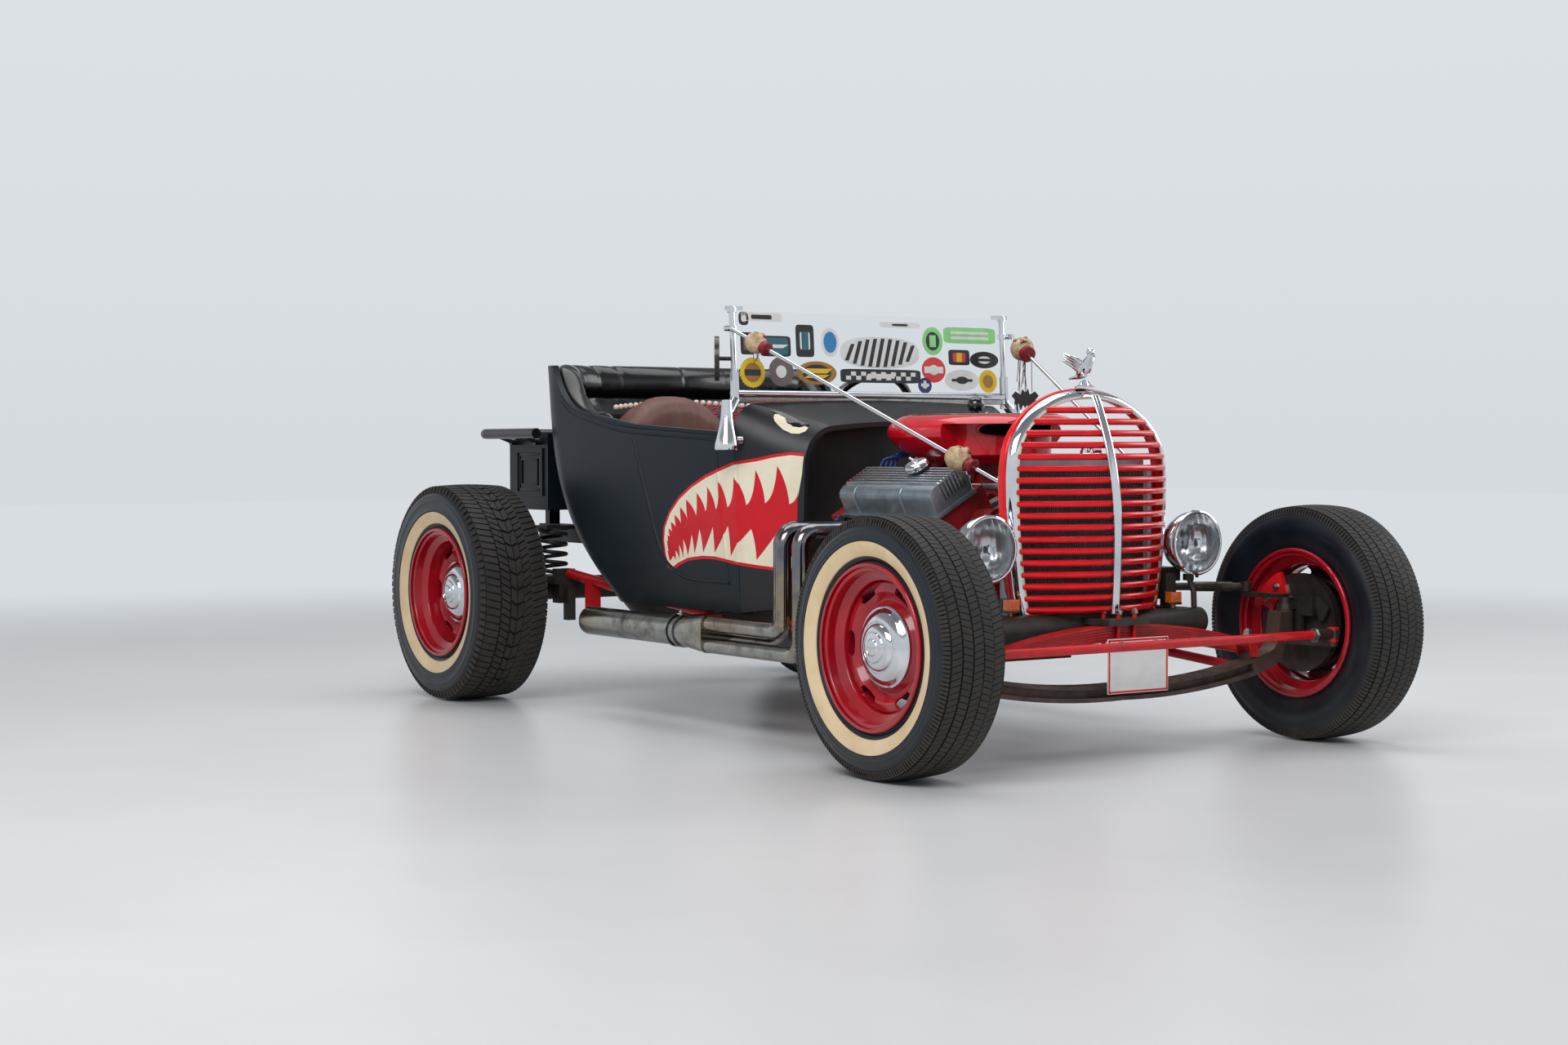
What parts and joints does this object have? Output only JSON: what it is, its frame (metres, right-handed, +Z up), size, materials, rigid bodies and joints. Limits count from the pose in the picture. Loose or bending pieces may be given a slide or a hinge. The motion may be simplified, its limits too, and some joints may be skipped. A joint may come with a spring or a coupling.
{
  "type": "street rod roadster",
  "caption": "Open two-seat street rod roadster: fenderless steered front wheels, exposed V engine, upright arched grille, short pickup bed and side exhausts.",
  "frame": {"origin": "on the ground, midway between the foremost and rearmost points of the tyres, on the car's centre plane", "axes": "+X to the car's left, -Y forwards, +Z up"},
  "size_m": [1.6868, 3.0369, 1.2256],
  "materials": {
    "tyre": "matt black rubber with a whitewall",
    "rim_red": "gloss red enamel",
    "chrome": "polished chrome",
    "body_black": "satin black with a blue cast",
    "chassis_black": "satin black chassis paint",
    "arm_red": "satin red enamel",
    "beam_brown": "brown oxide paint, worn",
    "dark_steel": "oiled dark steel",
    "engine_red": "red engine enamel, grimy",
    "cover_grey": "ribbed cast aluminium",
    "knob_black": "gloss black",
    "exhaust": "heat tinted steel",
    "glass": "clear flat glass",
    "lamp_glass": "fluted lens",
    "amber": "amber lens",
    "tail_red": "red lens",
    "roll_black": "gloss black vinyl",
    "seat_brown": "brown vinyl",
    "core_black": "black radiator core",
    "bar_red": "red painted bars",
    "plate_white": "white plate with a red border",
    "carved": "painted carved wood or resin",
    "wheel_rim": "black moulded rim on bright spokes"
  },
  "bodies": {
    "chassis": {"front_axle": "beam_brown", "frame": "chassis_black", "leaf_spring": "arm_red", "locating_arms": "arm_red", "rear_axle": "chassis_black", "rear_springs": "chassis_black", "engine": "engine_red", "valve_covers": "cover_grey", "breather": "chrome", "scoop": "bar_red", "scoop_knob": "knob_black", "gearbox": "dark_steel", "headers": "exhaust", "side_pipes": "exhaust", "body_tub": "body_black", "floor": "chassis_black", "cowl": "body_black", "firewall": "chassis_black", "dashboard": "body_black", "screen_frame": "chrome", "screen_glass": "glass", "mirror": "chrome", "stays": "chrome", "stay_heads": "carved", "seat_cushion": "seat_brown", "seat_backs": "seat_brown", "cockpit_pad": "roll_black", "steering_column": "chassis_black", "radiator": "core_black", "grille_shell": "bar_red", "grille_bars": "bar_red", "grille_trim": "chrome", "mascot": "chrome", "headlamps": "chrome", "lamp_lenses": "lamp_glass", "lamp_stems": "chassis_black", "indicators": "amber", "plate": "plate_white", "bed": "body_black", "bed_rail": "chassis_black", "tail_lamps": "tail_red"},
    "knuckle_left": {"knuckle_left": "dark_steel"},
    "knuckle_right": {"knuckle_right": "dark_steel"},
    "tie_rod": {"tie_rod": "arm_red"},
    "pitman_arm": {"pitman_arm": "dark_steel"},
    "drag_link": {"drag_link": "dark_steel"},
    "steering_wheel": {"steering_wheel": "wheel_rim"},
    "wheel_front_right": {"tyre_front_right": "tyre", "rim_front_right": "rim_red", "cap_front_right": "chrome"},
    "wheel_front_left": {"tyre_front_left": "tyre", "rim_front_left": "rim_red", "cap_front_left": "chrome"},
    "wheel_rear_right": {"tyre_rear_right": "tyre", "rim_rear_right": "rim_red", "cap_rear_right": "chrome"},
    "wheel_rear_left": {"tyre_rear_left": "tyre", "rim_rear_left": "rim_red", "cap_rear_left": "chrome"}
  },
  "joints": [
    {"name": "steer_left", "type": "hinge", "parent": "chassis", "child": "knuckle_left", "pos_m": [0.612, -1.1915, 0.327], "axis": [0, 0, 1], "range_deg": [-25, 25]},
    {"name": "steer_right", "type": "hinge", "parent": "chassis", "child": "knuckle_right", "pos_m": [-0.612, -1.1915, 0.327], "axis": [0, 0, 1], "range_deg": [-25, 25]},
    {"name": "tie_rod_pivot", "type": "hinge", "parent": "knuckle_right", "child": "tie_rod", "pos_m": [-0.642, -1.3415, 0.306], "axis": [0, 0, 1], "range_deg": [-24, 24]},
    {"name": "pitman_turn", "type": "hinge", "parent": "chassis", "child": "pitman_arm", "pos_m": [0.33, -0.9915, 0.42], "axis": [0, 0, 1], "range_deg": [-25, 25]},
    {"name": "drag_link_pivot", "type": "hinge", "parent": "pitman_arm", "child": "drag_link", "pos_m": [0.33, -0.8415, 0.42], "axis": [0, 0, 1], "range_deg": [-25, 25]},
    {"name": "steering_wheel_turn", "type": "hinge", "parent": "chassis", "child": "steering_wheel", "pos_m": [0.215, 0.2385, 0.892], "axis": [0, 0.8988, 0.4384], "range_deg": [-300, 300]},
    {"name": "roll_front_right", "type": "hinge", "parent": "knuckle_right", "child": "wheel_front_right", "pos_m": [-0.728, -1.1915, 0.327], "axis": [1, 0, 0], "continuous": true},
    {"name": "roll_front_left", "type": "hinge", "parent": "knuckle_left", "child": "wheel_front_left", "pos_m": [0.728, -1.1915, 0.327], "axis": [1, 0, 0], "continuous": true},
    {"name": "roll_rear_right", "type": "hinge", "parent": "chassis", "child": "wheel_rear_right", "pos_m": [-0.718, 1.1685, 0.35], "axis": [1, 0, 0], "continuous": true},
    {"name": "roll_rear_left", "type": "hinge", "parent": "chassis", "child": "wheel_rear_left", "pos_m": [0.718, 1.1685, 0.35], "axis": [1, 0, 0], "continuous": true}
  ],
  "couplings": [
    {"joint": "steer_right", "follows": "steer_left", "ratio": 1},
    {"joint": "tie_rod_pivot", "follows": "steer_left", "ratio": -0.95327},
    {"joint": "pitman_turn", "follows": "steer_left", "ratio": 1},
    {"joint": "drag_link_pivot", "follows": "steer_left", "ratio": -1},
    {"joint": "steering_wheel_turn", "follows": "steer_left", "ratio": 12}
  ]
}
